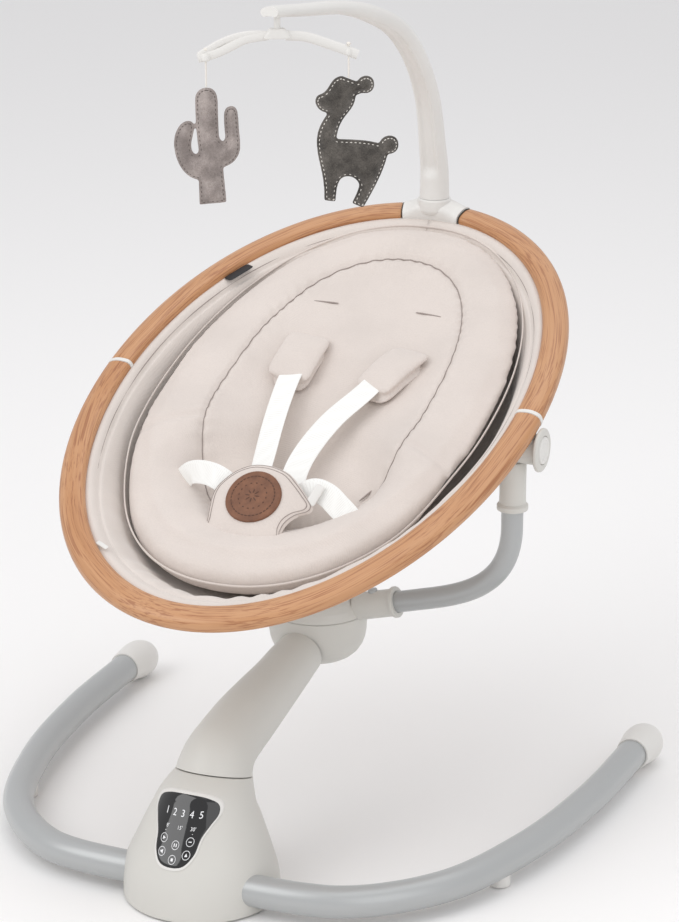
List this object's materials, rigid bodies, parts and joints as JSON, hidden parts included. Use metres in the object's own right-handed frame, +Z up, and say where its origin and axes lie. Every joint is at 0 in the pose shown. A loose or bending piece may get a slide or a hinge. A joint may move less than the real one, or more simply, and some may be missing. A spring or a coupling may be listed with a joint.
{
  "type": "baby swing",
  "caption": "Motor-driven infant swing: leaning base with C-shaped legs, arm and yoke holding an oval reclining padded seat with harness, and a curved toy arm with hanging felt toys",
  "frame": {"origin": "Middle of the round rubber pad's underside, on the floor under the base casing", "axes": "+Z up, +Y from the base towards the seat's head end, +X towards the left hand of a child in the seat"},
  "size_m": [0.6542, 0.7077, 0.8511],
  "materials": {
    "shell": "satin moulded",
    "tube": "satin paint",
    "steel": "machined",
    "wood_look": "printed wood grain, satin",
    "panel": "high gloss",
    "board": "solder mask",
    "rubber": "matt",
    "gear": "moulded",
    "fabric": "brushed knit",
    "webbing": "woven webbing",
    "badge": "embossed",
    "felt_light": "wool felt",
    "felt_dark": "wool felt"
  },
  "bodies": {
    "base": {"base_casing": "shell", "panel_bezel": "shell", "control_panel": "panel", "control_board": "board", "power_inlet": "rubber", "base_pad": "rubber", "base_plate": "shell", "drive_frame": "steel", "bearing_lower": "steel", "bearing_upper": "steel", "swing_motor": "steel", "leg_tube_right": "tube", "leg_tube_left": "tube", "leg_cap_right": "shell", "leg_cap_left": "shell", "leg_foot_right": "shell", "leg_foot_left": "shell"},
    "pinion": {"motor_pinion": "gear"},
    "swing_arm": {"swing_shaft": "steel", "sector_gear": "gear", "swing_arm_shell": "shell", "arm_core": "steel", "hub_bowl": "shell", "hub_cap": "shell", "yoke_tube_right": "tube", "yoke_tube_left": "tube", "pivot_housing_right": "shell", "pivot_housing_left": "shell", "pivot_pin_right": "steel", "pivot_pin_left": "steel"},
    "snap_button_right": {"snap_button_right": "shell"},
    "snap_button_left": {"snap_button_left": "shell"},
    "recline_button_right": {"recline_button_right": "shell"},
    "recline_button_left": {"recline_button_left": "shell"},
    "seat": {"rim_head_right": "wood_look", "rim_head_left": "wood_look", "rim_foot": "wood_look", "head_clamp": "shell", "seat_liner": "fabric", "seat_cushion": "fabric", "crotch_pad": "fabric", "crotch_badge": "badge", "buckle_body": "shell", "rim_joint_right": "shell", "rim_joint_left": "shell", "seat_bracket_right": "steel", "seat_bracket_left": "steel", "shoulder_strap_right": "webbing", "shoulder_strap_left": "webbing", "waist_strap_right": "webbing", "waist_strap_left": "webbing", "shoulder_pad_right": "fabric", "shoulder_pad_left": "fabric"},
    "buckle_button": {"buckle_button": "shell"},
    "toy_arm": {"toy_arm": "shell"},
    "mobile": {"mobile_bar": "shell", "cactus_string": "webbing", "llama_string": "webbing"},
    "cactus": {"cactus": "felt_light"},
    "llama": {"llama": "felt_dark"}
  },
  "joints": [
    {"name": "swing", "type": "hinge", "parent": "base", "child": "swing_arm", "pos_m": [0, 0.031, 0.114], "axis": [0, 0.309, 0.9511], "range_deg": [-12, 12]},
    {"name": "pinion_spin", "type": "hinge", "parent": "base", "child": "pinion", "pos_m": [0.02121, 0.00125, 0.09107], "axis": [0, 0.309, 0.9511], "range_deg": [-36.5, 36.5]},
    {"name": "recline", "type": "hinge", "parent": "swing_arm", "child": "seat", "pos_m": [0, 0.286, 0.404], "axis": [1, 0, 0], "range_deg": [-8, 8]},
    {"name": "recline_button_right_press", "type": "slide", "parent": "swing_arm", "child": "recline_button_right", "axis": [-1, 0, 0], "range_m": [0, 0.004], "stiffness_N_per_m": 900},
    {"name": "recline_button_left_press", "type": "slide", "parent": "swing_arm", "child": "recline_button_left", "axis": [1, 0, 0], "range_m": [0, 0.004], "stiffness_N_per_m": 900},
    {"name": "snap_button_right_press", "type": "slide", "parent": "swing_arm", "child": "snap_button_right", "axis": [0.2588, 0, -0.9659], "range_m": [0, 0.003], "stiffness_N_per_m": 1200},
    {"name": "snap_button_left_press", "type": "slide", "parent": "swing_arm", "child": "snap_button_left", "axis": [-0.2588, 0, -0.9659], "range_m": [0, 0.003], "stiffness_N_per_m": 1200},
    {"name": "buckle_button_press", "type": "slide", "parent": "seat", "child": "buckle_button", "axis": [0, 0.3535, -0.9354], "range_m": [0, 0.003], "stiffness_N_per_m": 800},
    {"name": "toy_arm_swivel", "type": "hinge", "parent": "seat", "child": "toy_arm", "pos_m": [0, 0.61, 0.576], "axis": [0, 0, 1], "range_deg": [-90, 90]},
    {"name": "mobile_spin", "type": "hinge", "parent": "toy_arm", "child": "mobile", "pos_m": [0, 0.193, 0.83], "axis": [0, 0, 1], "continuous": true},
    {"name": "cactus_swing", "type": "hinge", "parent": "mobile", "child": "cactus", "pos_m": [-0.06148, 0.16168, 0.77135], "axis": [0.891, 0.454, 0], "range_deg": [-25, 25]},
    {"name": "llama_swing", "type": "hinge", "parent": "mobile", "child": "llama", "pos_m": [0.06148, 0.22432, 0.77835], "axis": [0.891, 0.454, 0], "range_deg": [-25, 25]}
  ],
  "couplings": [
    {"joint": "pinion_spin", "follows": "swing", "ratio": -3}
  ]
}
